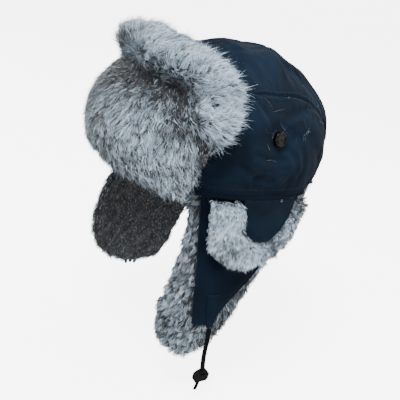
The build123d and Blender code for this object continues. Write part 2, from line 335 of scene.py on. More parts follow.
def bronze_paint():
    paint = Paint("dark_bronze_metal", Metallic=1.0)
    patches = paint.span(paint.noise(0.004, 5.0, 0.5), 0.35, 0.7)
    tone = paint.blend(patches, rgb(12, 12, 13), rgb(46, 44, 41))
    return paint.finish(tone, paint.span(patches, 0.0, 1.0, 0.18, 0.35), patches, 0.2, 0.0001)


def pelt_paint(name, dark, light, brown):
    """The dense underfur that shows between the long hairs."""
    paint = Paint(name, Sheen_Weight=0.3, Sheen_Roughness=0.5, Specular_IOR_Level=0.2)
    tufts = paint.noise(0.004, 5.0, 1.2)
    long = paint.node("ShaderNodeMapping", Vector=paint.where(), Scale=(1.0, 1.0, 0.22)).outputs["Vector"]
    streaks = paint.node("ShaderNodeTexNoise", Vector=long, Scale=1 / 0.0012, Detail=4.0).outputs["Fac"]
    tone = paint.blend(paint.span(tufts, 0.35, 0.65), dark, light)
    tone = paint.blend(paint.span(streaks, 0.45, 0.7, 0.0, 0.6), tone, light)
    tone = paint.blend(paint.span(paint.noise(0.03), 0.55, 0.75, 0.0, 0.35), tone, brown)
    rough = paint.span(streaks, 0.0, 1.0, 0.7, 1.0)
    return paint.finish(tone, rough, paint.math("ADD", tufts, streaks), 0.8, 0.001)


underfur = pelt_paint("rabbit_underfur", rgb(17, 18, 20), rgb(50, 54, 59), rgb(52, 44, 36))
pale_underfur = pelt_paint("pale_underfur", rgb(40, 44, 50), rgb(96, 104, 113), rgb(82, 71, 58))
bronze = bronze_paint()
moulding = moulded_paint()

# Hair shades from root to tip; each hair runs through three of them.
SHADES = [(18, 18, 19), (44, 46, 48), (80, 85, 90), (116, 127, 137), (150, 166, 180), (180, 203, 222),
          (216, 233, 248), (86, 70, 54), (158, 138, 108)]
HAIR_KINDS = [(0, 0, 1), (0, 1, 2), (0, 2, 3), (1, 3, 4), (1, 4, 5), (2, 5, 6), (4, 6, 6),
              (1, 4, 0), (1, 3, 7), (2, 8, 8)]
PALEST, DARK_TIPPED, BROWN_TIPPED, TAN = 6, 7, 8, 9
hair_paints = []
for number, shade in enumerate(SHADES):
    hair = Paint(f"hair_shade_{number}", Roughness=0.5, Sheen_Weight=0.15, Specular_IOR_Level=0.35)
    hair.shader.inputs["Base Color"].default_value = rgb(*shade)
    hair_paints.append(hair.material)

# ---- Straps, tabs and buckles ----
# The routes' points are those of the straps in part.py, in metres, seen on the left side.
STRAP_START = (0.102354, -0.025, -0.155368)
LEFT_DROPS = [(0, 0, 0), (0.0032, 0.0002, -0.012), (0.005, -0.0006, -0.026), (0.0054, 0.001, -0.04),
              (0.0052, 0.004, -0.054)]
RIGHT_DROPS = [(0, 0, 0), (0.0024, 0.0014, -0.0085), (0.004, 0.0034, -0.0175), (0.005, 0.0058, -0.0265),
               (0.0054, 0.008, -0.0354)]
STRAPS = (("left", 1, LEFT_DROPS, 0.0549, "left_buckle_socket"),
          ("right", -1, RIGHT_DROPS, 0.0368, "right_buckle_prongs"))
STRAP_WIDTH = 0.006
STRAP_THICKNESS = 0.0015


def strap_path(side, drops):
    """Points along the smooth line that the strap follows."""
    curve = bpy.data.curves.new("route", "CURVE")
    curve.dimensions = "3D"
    spline = curve.splines.new("NURBS")
    spline.points.add(len(drops) - 1)
    for point, drop in zip(spline.points, drops):
        x, y, z = (a + b for a, b in zip(STRAP_START, drop))
        point.co = (side * x, y, z, 1)
    spline.order_u = 3
    spline.use_endpoint_u = True
    spline.resolution_u = 16
    route = link("route", curve)
    mesh = bpy.data.meshes.new_from_object(route)
    path = [v.co.copy() for v in mesh.vertices]
    bpy.data.objects.remove(route)
    return path


def webbing(name, path, width):
    """A flat woven strap with ribs across it and rounded selvedges."""
    outline = []
    for step in range(20):
        angle = 2 * pi * step / 20
        c, s = cos(angle), sin(angle)
        outline.append((copysign(abs(c) ** 0.5, c) * width / 2,
                        copysign(abs(s) ** 0.7, s) * STRAP_THICKNESS / 2))
    finer = []
    for a, b in zip(path, path[1:]):
        finer += [a.lerp(b, t / 2) for t in range(2)]
    finer.append(path[-1])
    points = []
    for k, spot in enumerate(finer):
        ahead = (finer[min(k + 1, len(finer) - 1)] - finer[max(k - 1, 0)]).normalized()
        across = (Vector((0, 1, 0)) - ahead * ahead.y).normalized()
        face = ahead.cross(across)
        rib = 1 + (0.08 if k % 2 else -0.02)
        for u, v in outline:
            points.append(spot + across * u + face * v * rib)
    count = len(outline)
    faces = quads(len(finer), count)
    faces.append(tuple(reversed(range(count))))
    faces.append(tuple(range(len(points) - count, len(points))))
    return link(name, mesh_of(name, points, faces), webbing_cloth)


tail_low, tail_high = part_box("left_strap_tail")
tail_x = (tail_low.x + tail_high.x) / 2
tail_top = Vector((tail_x + 0.0004, tail_low.y + 0.003, tail_high.z))
tail_end = Vector((tail_x - 0.0006, tail_high.y - 0.003, tail_low.z))
tail_bow = Vector((0.0004, 0.0012, 0))
tail_path = [tail_top.lerp(tail_end, t / 16) + tail_bow * sin(pi * t / 16) for t in range(17)]
tail = webbing("left_strap_end", tail_path, STRAP_WIDTH - 0.0012)
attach(tail, "left_strap")
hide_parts("left_strap_tail")

for hand, side, drops, length, buckle_name in STRAPS:
    path = strap_path(side, drops)
    strap = webbing(f"{hand}_strap_webbing", path, STRAP_WIDTH)
    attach(strap, f"{hand}_strap")
    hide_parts(f"{hand}_strap")
    buckle = nodes[buckle_name]
    repaint(buckle.data, moulding)
    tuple(path[0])

for part in ("button_cap", "button_post", "button_washer"):
    for hand, side in SIDES:
        repaint(nodes[f"{hand}_{part}"].data, bronze)

# ---- Crown cloth ----
STRAIGHT = 20 * MM          # half the straight run between the crown's round ends
SEAM = 67 * MM              # side seams, from the middle
CLOTH = 1.2 * MM
BUTTON_HEIGHT = 58 * MM
# Folds in the side panels, as (y, z) in mm.
FOLDS = [[(-26, 90), (-16, 79), (-8, 65)], [(4, 73), (16, 81), (36, 85)], [(-26, 43), (-8, 37), (11, 39)],
         [(29, 50), (38, 31), (37, 10)], [(-36, 29), (-20, 20), (4, 15)], [(8, 50), (22, 41), (30, 27)]]
crown_cloth_nodes = ("crown_top_panel", "left_crown_side_panel", "right_crown_side_panel")
lining_nodes = ("crown_lining_top", "left_crown_lining_side", "right_crown_lining_side")


def wall_profile(names, from_outside, rows):
    """Even points up one side of a dome, as (distance from the middle, height)."""
    tree = tree_of(*(nodes[name].data for name in names))
    middle = Vector((0, 0.012, 0.02))
    found = []
    for step in range(421):
        angle = radians(-20 + 110 * step / 420)
        away = Vector((cos(angle), 0, sin(angle)))
        start = middle + away * FAR if from_outside else middle
        hit = tree.ray_cast(start, -away if from_outside else away)[0]
        if hit is not None and hit.x > -0.001:
            found.append((hit.x, hit.z))
    return along_line(found, lambda size: np.linspace(0, size, rows))


def dome(profile, round_cells, straight_cells):
    """A closed dome from its profile: two round ends with straight sides between."""
    plan = [(-pi + pi * k / round_cells, -STRAIGHT) for k in range(round_cells)]
    plan += [(0.0, -STRAIGHT + 2 * STRAIGHT * k / straight_cells) for k in range(straight_cells)]
    plan += [(pi * k / round_cells, STRAIGHT) for k in range(round_cells)]
    plan += [(pi, STRAIGHT - 2 * STRAIGHT * k / straight_cells) for k in range(straight_cells)]
    points = [(radius * cos(angle), y + radius * sin(angle), height)
              for radius, height in profile for angle, y in plan]
    mesh = mesh_of("dome", points, quads(len(profile), len(plan)))
    with reshaped(mesh) as shape:
        bmesh.ops.remove_doubles(shape, verts=shape.verts, dist=0.4 * MM)
        bmesh.ops.recalc_face_normals(shape, faces=shape.faces)
    mesh.shade_smooth()
    return mesh


def settle(piece, pinned, pressure, spare, cap, frames=20):
    """Let the cloth find its own shape, held where pinned, and keep each point within cap of its start."""
    start, _ = arrays(piece.data)
    group = piece.vertex_groups.new(name="pinned")
    for index, weight in enumerate(pinned):
        if weight > 0:
            group.add([index], float(weight), "REPLACE")
    cloth = piece.modifiers.new("cloth", "CLOTH").settings
    piece.modifiers["cloth"].collision_settings.use_self_collision = False
    cloth.quality = 6
    cloth.mass = 0.25
    cloth.tension_stiffness = cloth.compression_stiffness = 12
    cloth.shear_stiffness = 6
    cloth.bending_stiffness = 0.6
    cloth.use_pressure = True
    cloth.uniform_pressure_force = pressure
    cloth.shrink_min = -spare
    cloth.effector_weights.gravity = 0
    cloth.vertex_group_mass = "pinned"
    cloth.pin_stiffness = 4
    for number in range(1, frames + 1):
        scene.frame_set(number)
    applied(piece)
    moved, _ = arrays(piece.data)
    shift = moved - start
    size = norm(shift, axis=1, keepdims=True)
    move_points(piece.data, start + shift * np.minimum(1, cap / np.maximum(size, 1e-9)))
    scene.frame_set(1)
    piece.vertex_groups.clear()


outer = wall_profile(crown_cloth_nodes, True, 60)
CROWN_RADIUS = outer[0][0]
HEM = ((5.6, 1.6), (4.2, 0.2), (1.6, -0.3), (0.3, 0.2))  # the turned-in edge, as (inward, height) in mm
hem = np.array([(CROWN_RADIUS - inward * MM, height * MM) for inward, height in HEM])
crown = link("crown_cloth", dome(np.vstack([hem, outer[1:]]), 84, 14))
points, _ = arrays(crown.data)
x, y, z = points.T
from_button = np.hypot(y, z - BUTTON_HEIGHT) + FAR * (np.abs(x) < 0.08)
held = np.clip(1 - ramp(0.002, 0.010, z), 0, 1)
held = np.maximum(held, 0.9 * (1 - ramp(0.002, 0.008, np.abs(np.abs(x) - SEAM))))
held = np.maximum(held, 1 - ramp(0.008, 0.014, from_button))
settle(crown, held, 0.6, 0.025, 3.0 * MM)

with reshaped(crown.data) as shape:
    for side in (1, -1):
        for offset in (-4.5, -2.2, -1.0, 0, 1.0, 2.2, 4.5):
            cut = (side * (SEAM + offset * MM), 0, 0)
            whole = shape.verts[:] + shape.edges[:] + shape.faces[:]
            bmesh.ops.bisect_plane(shape, geom=whole, plane_co=cut, plane_no=(1, 0, 0), dist=1e-5)
    bmesh.ops.triangulate(shape, faces=[f for f in shape.faces if len(f.verts) > 4])

points, normals = arrays(crown.data)
x, y, z = points.T
across = np.abs(x) - SEAM
above_hem = ramp(0.0, 0.012, z)
groove = 0.45 * MM * bell(np.abs(across) - 2.6 * MM, 1.4 * MM) - 1.3 * MM * bell(across, 1.0 * MM)
run_along = np.arctan2(z - 0.03, y)
pucker = 0.35 * MM * np.sin(run_along * 88 + 1.3 * np.sin(run_along * 17)) * bell(across, 7 * MM)
wrinkles = 1 - np.abs(ripple(points * (1, 1, 0.7), 0.034, 11))
creases = 1.0 * MM * ripple(points, 0.030, 12) - 1.8 * MM * ramp(0.72, 1.0, wrinkles)
creases += 0.3 * MM * ripple(points, 0.012, 13)
round_button = np.arctan2(z - BUTTON_HEIGHT, y)
at_button = np.where(np.abs(x) > 0.07, bell(np.hypot(y, z - BUTTON_HEIGHT), 0.013), 0)
dimple = at_button * MM * (-0.5 + 0.5 * np.sin(round_button * 6 + 0.8))
soft = np.minimum(above_hem, 1 - at_button)
for fold in FOLDS:
    away = near_line(points[:, 1:], np.array(fold) * MM)
    valley = 1.1 * MM * bell(away - 0.0055, 0.003) - 1.5 * MM * bell(away, 0.0024)
    creases += valley * ramp(0.068, 0.076, np.abs(x))
move_points(crown.data, points + normals * ((groove + pucker) * above_hem + creases * soft + dimple)[:, None])

PANELS = (("crown_top_cloth", 0, ("crown_top_panel", "crown_wadding")),
          ("left_crown_side_cloth", 1, ("left_crown_side_panel",)),
          ("right_crown_side_cloth", -1, ("right_crown_side_panel",)))
for name, side, stands_for in PANELS:
    mesh = bpy.data.meshes.new(name)
    with reshaped(crown.data, mesh) as shape:
        x_of = {f: f.calc_center_median().x for f in shape.faces}
        others = [f for f, x in x_of.items() if (side == 0) != (abs(x) < SEAM) or side * x < 0]
        bmesh.ops.delete(shape, geom=others, context="FACES")
    panel = link(name, mesh, lit_navy)
    thicken(panel, CLOTH, order=("SUBSURF", "SOLIDIFY"))
    stand_in(panel, "crown", "navy_cotton", *stands_for, fill=0.6)
crown_tree = tree_of(crown.data)
bpy.data.objects.remove(crown)

# ---- Stitches and loose hairs on the crown ----
STITCH_PITCH = 3.2 * MM
STITCH_LENGTH = 2.3 * MM
STITCH_HALF = 0.28 * MM
STITCH_RISE = 0.35 * MM
STITCH_SUNK = 0.1 * MM
STITCH_FACES = ((0, 3, 2), (0, 4, 3), (1, 5, 6), (1, 6, 7), (2, 3, 6, 5), (3, 4, 7, 6))


def stitch_run(x, z, spokes):
    """Evenly spaced spots where rays in towards the hat's middle plane meet the crown."""
    start = Vector((x, 0, z))
    hits = [crown_tree.ray_cast(start + away * FAR, -away)[0] for away in spokes]
    return along_line([hit for hit in hits if hit is not None],
                      lambda size: np.arange(STITCH_PITCH, size, STITCH_PITCH))


over = [Vector((0, cos(radians(d)), sin(radians(d)))) for d in range(181)]
around = [Vector((cos(radians(d)), sin(radians(d)), 0)) for d in range(361)]
rows = [stitch_run(side * (SEAM + beyond * MM), 0.006, over) for side in (1, -1) for beyond in (2.6, -2.6)]
rows.append(stitch_run(0, 0.0055, around))
points, faces = [], []
for row in rows:
    for spot, along in zip(row, unit(np.gradient(row, axis=0))):
        place, normal, _, _ = crown_tree.find_nearest(Vector(spot))
        along = Vector(along)
        beside = along.cross(normal).normalized()
        faces += [tuple(len(points) + i for i in face) for face in STITCH_FACES]
        points += [place + along * STITCH_LENGTH * share - normal * STITCH_SUNK for share in (-0.5, 0.5)]
        for share in (-0.3, 0.3):
            middle = place + along * STITCH_LENGTH * share
            points += [middle - beside * STITCH_HALF, middle + normal * STITCH_RISE,
                       middle + beside * STITCH_HALF]
stitches = link("crown_stitching", mesh_of("crown_stitching", points, faces), thread_cloth)
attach(stitches, "crown")

LOOSE_HAIRS = 30
LOOSE_RUNS = 6
draw = np.random.default_rng(205)
points, faces, shades = [], [], []
for number in range(LOOSE_HAIRS):
    angle = draw.uniform(-0.9, 1.5)
    away = Vector((cos(angle), sin(angle), draw.uniform(0.05, 1.1))).normalized()
    hit = crown_tree.ray_cast(Vector((0, 0, 0.03)) + away * FAR, -away)
    spot, normal = hit[0], hit[1]
    heading = Vector(draw.normal(size=3)).cross(normal).normalized()
    bend = draw.normal(0, 0.5)
    stride = draw.uniform(1.4, 3.0) * MM
    base = len(points)
    for k in range(LOOSE_RUNS + 1):
        place, normal, _, _ = crown_tree.find_nearest(spot)
        heading = (heading - normal * heading.dot(normal)).normalized()
        beside = heading.cross(normal).normalized()
        rise = normal * (0.4 + 0.9 * (k / LOOSE_RUNS) ** 2 * draw.random()) * MM
        half = 0.055 * MM * (1 - 0.6 * abs(k - 3) / 3)
        points += [place + rise - beside * half, place + rise + beside * half]
        spot = place + heading * stride
        heading = (heading + beside * bend * 0.5).normalized()
        if k < LOOSE_RUNS:
            faces.append((base + 2 * k, base + 2 * k + 1, base + 2 * k + 3, base + 2 * k + 2))
            shades.append(2 + number % 4)
loose = link("loose_hairs", mesh_of("loose_hairs", points, faces))
for paint in hair_paints:
    loose.data.materials.append(paint)
loose.data.polygons.foreach_set("material_index", shades)
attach(loose, "crown")

# ---- Lining and sweatband ----
QUILT_PITCH = 0.016
BAND_HEIGHT = 0.033
inner = wall_profile(lining_nodes, False, 40)
lining_mesh = dome(inner, 44, 8)
points, normals = arrays(lining_mesh)
x, y, z = points.T
inward = -normals * np.sign((normals * (points - np.array([0, 0, 0.03]))).sum(1))[:, None]
quilt = np.abs(np.sin(y / QUILT_PITCH * pi / 2 + 0.4 * z / 0.02)) ** 0.6
puffs = 0.2 * MM + 1.0 * MM * quilt * ramp(0.02, 0.04, z)
move_points(lining_mesh, points + inward * puffs[:, None])
lining = link("crown_lining", lining_mesh, lining_cloth)
thicken(lining, 0.8 * MM)
stand_in(lining, "crown", "lining_cloth", *lining_nodes, fill=0.4)

band_profile = wall_profile(("sweatband",), False, 14)
band_profile = band_profile[band_profile[:, 1] < BAND_HEIGHT]
band_mesh = dome(band_profile, 60, 12)
points, normals = arrays(band_mesh)
x, y, z = points.T
inward = -unit(np.c_[x, y - np.clip(y, -STRAIGHT, STRAIGHT), 0 * z])
edges = bell(z - 0.003, 0.0015) + bell(z - 0.028, 0.0015)
wave = 0.5 * MM * ripple(points, 0.02, 21) * ramp(0.002, 0.01, z) + 0.4 * MM
move_points(band_mesh, points + inward * (wave - 0.4 * MM * edges)[:, None])
sweatband = link("sweatband_cloth", band_mesh, band_cloth)
thicken(sweatband, 1.6 * MM)
stand_in(sweatband, "crown", "lining_cloth", "sweatband", fill=0.5)


# ---- Cloth panels of the flaps ----
PANEL_THICK = 1.4 * MM
HEM_STITCH = 4.5 * MM       # the stitched line, from a panel's edge


def face_patch(name, facing, around, rings):
    """Rings of points on one face of a CAD node, from its middle out to its outline."""
    shape = bmesh.new()
    shape.from_mesh(nodes[name].data)
    bmesh.ops.remove_doubles(shape, verts=shape.verts, dist=2e-6)
    facing = Vector(facing).normalized()
    chosen = {f for f in shape.faces if f.normal.dot(facing) > 0.6}
    beside = {}
    for edge in shape.edges:
        if sum(f in chosen for f in edge.link_faces) == 1:
            a, b = edge.verts
            beside.setdefault(a, []).append(b)
            beside.setdefault(b, []).append(a)
    loops = []
    left = dict.fromkeys(beside)
    while left:
        loop = []
        ahead = next(iter(left))
        while ahead is not None:
            loop.append(ahead)
            del left[ahead]
            ahead = next((v for v in beside[ahead] if v in left), None)
        loops.append(loop)
    loop = np.array([v.co for v in max(loops, key=len)])
    rim = along_line(np.vstack([loop, loop[:1]]), lambda size: np.linspace(0, size, around, endpoint=False))
    tree = BVHTree.FromBMesh(shape)
    shape.free()
    middle = rim.mean(0)
    points, shares = [], []
    for ring in range(rings + 1):
        share = (ring / rings) ** 0.85
        for spot in rim:
            flat = Vector(middle + (spot - middle) * share)
            hit = tree.ray_cast(flat + facing * 0.06, -facing)[0] if ring < rings else None
            points.append(hit if hit is not None else flat)
            shares.append(share)
        if ring == 0:
            points, shares = points[:1], shares[:1]
    faces = [(0, 1 + i, 1 + (i + 1) % around) for i in range(around)]
    for ring in range(rings - 1):
        a = 1 + ring * around
        for i in range(around):
            j = (i + 1) % around
            faces.append((a + i, a + around + i, a + around + j, a + j))
    return np.array(points), np.array(shares), faces, rim


def panel_cloth(name, node, facing, body, material, puff, crease, seed, around=120, rings=26):
    """A sewn cloth panel: filled out in the middle, drawn in along a stitched hem, softly creased."""
    points, shares, faces, rim = face_patch(node, facing, around, rings)
    facing = np.array(Vector(facing).normalized())
    usual_radius = norm(rim - rim.mean(0), axis=1).mean()
    from_rim = (1 - shares) * usual_radius
    lift = puff * (1 - shares**2) - 0.7 * MM * bell(from_rim - HEM_STITCH, 1.3 * MM)
    lift = lift + crease * ripple(points, 0.028, seed) * ramp(0, 0.012, from_rim)
    lift = lift + 0.4 * crease * ripple(points, 0.011, seed + 1) * ramp(0, 0.006, from_rim)
    mesh = mesh_of(name, points + facing * lift[:, None], faces)
    piece = link(name, mesh, material)
    with reshaped(mesh) as shape:
        bmesh.ops.recalc_face_normals(shape, faces=shape.faces)
        if sum((f.normal.dot(Vector(facing)) * f.calc_area() for f in shape.faces)) < 0:
            bmesh.ops.reverse_faces(shape, faces=shape.faces)
    thicken(piece, PANEL_THICK)
    stand_in(piece, body, "navy_cotton", node, fill=0.3)


for hand, side in SIDES:
    body = f"{hand}_ear_flap"
    outward = (side, 0, 0.09)
    panel_cloth(f"{hand}_ear_flap_cloth", f"{hand}_ear_flap_shell", outward, body, navy,
                0.8 * MM, 0.7 * MM, 31 + side)
    panel_cloth(f"{hand}_cuff_cloth", f"{hand}_cuff_shell", outward, body, lit_navy,
                1.2 * MM, 0.6 * MM, 41 + side, 100, 18)
    panel_cloth(f"{hand}_strap_tab_cloth", f"{hand}_strap_tab", outward, body, navy,
                0.3 * MM, 0.1 * MM, 51 + side, 60, 6)
panel_cloth("neck_flap_cloth", "neck_flap_shell", (0, 1, 0), "neck_flap", navy,
            1.0 * MM, 0.6 * MM, 61, 110, 20)

# ---- Seams that join the flaps to the crown ----
SEAM_STEPS = 96
EAR_SEAM = (-0.076, 0.064)  # its ends, in y
EAR_BOW = 0.170             # radius of the ear flap's top edge, seen from above
# Each profile runs from the crown's hem down to the flap, as (outward, height) in mm.
EAR_PROFILE = ((-2.6, 2.0), (-0.6, 1.6), (0.4, 0.8), (0.3, -0.4), (-0.5, -1.2), (0.5, -2.2), (0.9, -3.6),
               (0.6, -5.4), (-0.4, -6.6))
NECK_PROFILE = ((-2.6, 2.0), (-0.6, 1.6), (0.4, 0.8), (0.3, -0.4), (0.4, -1.4), (2.2, -2.4), (4.2, -3.6),
                (4.4, -5.0))
FRONT_PROFILE = ((-2.6, 2.0), (-0.8, 0.6), (0.4, -0.8), (2.0, -1.9), (4.0, -2.4), (6.0, -2.0))
# Flap, profile, first and last angle, tapered share, gap, middle, and the blend's two heights in mm.
END_SEAMS = (("neck_flap", NECK_PROFILE, 42, 138, 0.14, 0.3 * MM, STRAIGHT, 0.8, -4.0),
             ("front_flap", FRONT_PROFILE, -120, -60, 0.2, 0.0, -STRAIGHT, 1.6, -2.2))


def seam_strip(flap, profile, place):
    """A narrow folded binding from the crown's hem to a flap; place puts its points in space."""
    points = [place(step / SEAM_STEPS, out, z) for out, z in profile for step in range(SEAM_STEPS + 1)]
    faces = quads(len(profile), SEAM_STEPS + 1, closed=False)
    name = f"{flap}_seam"
    strip = link(name, mesh_of(name, points, faces), navy)
    thicken(strip, 0.8 * MM, 0)
    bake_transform(strip)


def crown_x(y):
    return sqrt(max(CROWN_RADIUS**2 - max(abs(y) - STRAIGHT, 0) ** 2, 0))


def ease(a, b, t):
    return a + (b - a) * t


def ear_place(side):
    def place(part, out, z):
        y = ease(*EAR_SEAM, part)
        flap_x = CROWN_RADIUS + 1.0 * MM - (EAR_BOW - sqrt(EAR_BOW**2 - y * y))
        share = ramp(0.001, -0.003, z * MM)
        x = ease(crown_x(y) + 0.2 * MM, flap_x, share) + out * MM
        return side * x, y, z * MM

    return place


def end_place(first, last, fade, gap, middle):
    """Places along the front or the back of the crown; both ends taper up to the hem."""
    def place(part, out, z):
        angle = radians(ease(first, last, part))
        taper = float(ramp(0.0, fade, part) * ramp(0.0, fade, 1 - part))
        radius = CROWN_RADIUS + gap + (out * taper if out > 0 else out) * MM
        return radius * cos(angle), middle + radius * sin(angle), (z * taper if z < 0 else z) * MM

    return place


for hand, side in SIDES:
    seam_strip(f"{hand}_ear_flap", EAR_PROFILE, ear_place(side))
for flap, profile, first, last, fade, gap, middle, above, below in END_SEAMS:
    seam_strip(flap, profile, end_place(first, last, fade, gap, middle))

# ---- Fur ----
HAIR_RUNS = 3               # straight runs in each hair
ROOT_DEPTH = 0.0008
LOCK_REACH = 0.007          # roots further than this from a lock's leader stay out of it


def pelt(name, node, body, material, inset, lumps, seed, voxel=4 * MM, pull=None, billow=None):
    """The dense inner body of a fur piece: its CAD solid drawn in, filled out and made uneven."""
    piece = link(name, nodes[node].data.copy())
    repaint(piece.data, material)
    grid = piece.modifiers.new("grid", "REMESH")
    grid.mode = "VOXEL"
    grid.voxel_size = voxel
    even = piece.modifiers.new("even", "SMOOTH")
    even.factor = 0.6
    even.iterations = 4
    applied(piece)
    points, normals = arrays(piece.data)
    solid = tree_of(piece.data)
    through = np.full(len(points), 1.0)
    for i, (point, normal) in enumerate(zip(points, normals)):
        hit = solid.ray_cast(Vector(point - normal * 0.0005), Vector(-normal))
        if hit[0] is not None:
            through[i] = hit[3]
    points = points - normals * np.minimum(inset, 0.33 * through)[:, None]
    if pull is not None:
        points = points + pull(points, normals)
    move_points(piece.data, points)
    if billow:
        settle(piece, billow["held"](points), billow["pressure"], 0.01, billow["cap"], 16)
        points, normals = arrays(piece.data)
    bumps = lumps * (ripple(points, 0.014, seed) + 0.5 * ripple(points, 0.006, seed + 1))
    move_points(piece.data, points + normals * bumps[:, None])
    stand_in(piece, body, "rabbit_fur", node, fill=0.5)
    return piece


def covered(points, normals, names, reach):
    """1 where a CAD node lies close in front of a point, otherwise 0."""
    tree = tree_of(*(nodes[name].data for name in names))
    hits = [tree.ray_cast(Vector(p - n * 0.004), Vector(n), reach)[0] for p, n in zip(points, normals)]
    return np.array([hit is not None for hit in hits], float)


def grow(name, pelt_piece, body, count, seed, look, hidden_by, width, clump, per_clump, reach):
    """Hairs all over a pelt, as tapered ribbons gathered in locks; look says how they lie and their tone."""
    draw = np.random.default_rng(seed)
    mesh = pelt_piece.data
    mesh.calc_loop_triangles()
    triangles = np.zeros(len(mesh.loop_triangles) * 3, np.int32)
    mesh.loop_triangles.foreach_get("vertices", triangles)
    triangles = triangles.reshape(-1, 3)
    points, normals = arrays(mesh)
    density = look(points, normals)["keep"]
    density = density * (1 - covered(points, normals, hidden_by, 0.02))
    corners = points[triangles]
    area = norm(np.cross(corners[:, 1] - corners[:, 0], corners[:, 2] - corners[:, 0]), axis=1)
    share = area * density[triangles].mean(1)
    picked = draw.choice(len(triangles), size=count, p=share / share.sum())
    mix = draw.random((count, 2))
    over = mix.sum(1) > 1
    mix[over] = 1 - mix[over]
    mix = np.c_[1 - mix.sum(1), mix][:, :, None]
    root = (corners[picked] * mix).sum(1)
    normal = unit((normals[triangles[picked]] * mix).sum(1))
    facts = look(root, normal)

    flow = facts["flow"] + draw.normal(0, 0.05, (count, 3))
    tangent = unit(flow - normal * (flow * normal).sum(1)[:, None])
    beside = np.cross(normal, tangent)
    turn = (facts["sway"] * ripple(root, 0.016, seed + 1) + draw.normal(0, 0.32, count))[:, None]
    tangent = tangent * np.cos(turn) + beside * np.sin(turn)
    lift = facts["lift"] + draw.normal(0, 0.22, count)
    length = reach * facts["length"] * draw.uniform(0.6, 1.2, count)
    curl = draw.normal(0, 0.42, count)[:, None]
    steps = [root - normal * ROOT_DEPTH]
    for k in range(HAIR_RUNS):
        share = (k + 0.5) / HAIR_RUNS
        angle = (lift * (1 - 0.75 * share))[:, None]
        heading = tangent * np.cos(angle) + normal * np.sin(angle) + beside * curl * share
        heading[:, 2] -= 0.18 * share
        steps.append(steps[-1] + unit(heading) * (length / HAIR_RUNS)[:, None])
    path = np.stack(steps, 1)

    leaders = max(count // per_clump, 1)
    near = KDTree(leaders)
    for i in range(leaders):
        near.insert(root[i], i)
    near.balance()
    leader = np.array([near.find(p)[1] for p in root])
    gather = (clump * draw.uniform(0.5, 1.4, leaders))[leader]
    apart = norm(root - root[leader], axis=1)
    gather = np.clip(gather, 0, 0.9) * (apart < LOCK_REACH)
    for k in range(1, HAIR_RUNS + 1):
        pull = (gather * (k / HAIR_RUNS) ** 1.2)[:, None]
        path[:, k] += (path[leader, k] - path[:, k]) * pull

    along = unit(np.gradient(path, axis=1))
    twist = draw.normal(0, 0.6, count)[:, None, None]
    flat = unit(np.cross(along, normal[:, None, :]))
    ribbon = unit(flat * np.cos(twist) + normal[:, None, :] * np.sin(twist))
    half = 0.5 * width * draw.uniform(0.7, 1.3, count)[:, None] * np.array([0.9, 1.0, 0.6])[None, :]
    sideways = ribbon[:, :-1] * half[:, :, None]
    edges = np.stack([path[:, :-1] - sideways, path[:, :-1] + sideways], 2)
    each = 2 * HAIR_RUNS + 1
    verts = np.concatenate([edges.reshape(count, -1, 3), path[:, -1:]], 1).reshape(-1, 3)

    tone = facts["light"] * PALEST - 0.3 + 1.25 * draw.normal(0, 1, leaders)[leader]
    tone = tone + 0.9 * draw.normal(0, 1, count)
    kind = np.clip(np.rint(tone), 0, PALEST).astype(int)
    chance = draw.random(count)
    kind[chance < facts["dark_tips"]] = DARK_TIPPED
    brown = chance > 1 - facts["brown"]
    kind[brown] = np.where(draw.random(count) < 0.6, BROWN_TIPPED, TAN)[brown]
    shades = np.array(HAIR_KINDS)[kind]

    pattern = [(2 * k, 2 * k + 1, 2 * k + 3, 2 * k + 2) for k in range(HAIR_RUNS - 1)]
    pattern = [i for quad in pattern for i in quad] + [each - 3, each - 2, each - 1]
    loops = (np.arange(count)[:, None] * each + np.array(pattern)[None, :]).ravel()
    starts = (np.arange(count)[:, None] * len(pattern) + 4 * np.arange(HAIR_RUNS)[None, :]).ravel()
    mesh = bpy.data.meshes.new(name)
    mesh.vertices.add(len(verts))
    mesh.vertices.foreach_set("co", verts.ravel())
    mesh.loops.add(len(loops))
    mesh.loops.foreach_set("vertex_index", loops.astype(np.int32))
    mesh.polygons.add(len(starts))
    mesh.polygons.foreach_set("loop_start", starts.astype(np.int32))
    for paint in hair_paints:
        mesh.materials.append(paint)
    mesh.polygons.foreach_set("material_index", shades.ravel().astype(np.int32))
    mesh.update(calc_edges=True)
    piece = link(name, mesh)
    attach(piece, body)


# Front flap, in mm: the crease under its curled rim, as (x, y, z) on the wearer's left; its rear edge, as
# (y, z); and the hollow in its rim, dented in and darkened with painted shade.
CREASE = [(0, -126, 94), (20, -124, 89), (38, -120, 87.5), (52, -112, 89), (63, -105, 90), (75, -102, 79),
          (84, -104, 68), (88, -98, 59), (93, -89, 54), (96, -82, 45), (98, -77, 33), (99, -74, 20)]
REAR_EDGE = [(-86, -14), (-80, 4), (-74, 25), (-66, 48), (-57, 70), (-54, 88), (-57, 104), (-76, 130)]
SHADED_NOTCH = np.array([-16, -126, 103]) * MM
FRONT_MIDDLE = np.array([0, -30, 50]) * MM
crease = np.array([(-x, y, z) for x, y, z in reversed(CREASE[1:])] + CREASE) * MM
crease_turn = np.arctan2(np.abs(crease[:, 0]), -(crease[:, 1] + STRAIGHT))[len(CREASE) - 1:]
crease_height = crease[len(CREASE) - 1:, 2]
rear_edge = np.array(REAR_EDGE) * MM
flap_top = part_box("front_flap_fur")[1].z


def facing_out(points, normals):
    """Positive on the flap's fur side, negative on the side towards the crown."""
    return (normals * (points - FRONT_MIDDLE)).sum(1)


def over_crease(points):
    """Signed distance beyond the crease, positive on the curled rim."""
    turn = np.arctan2(np.abs(points[:, 0]), -(points[:, 1] + STRAIGHT))
    height = np.interp(turn, crease_turn, crease_height, right=-0.02)
    return near_line(points, crease) * np.sign(points[:, 2] - height)


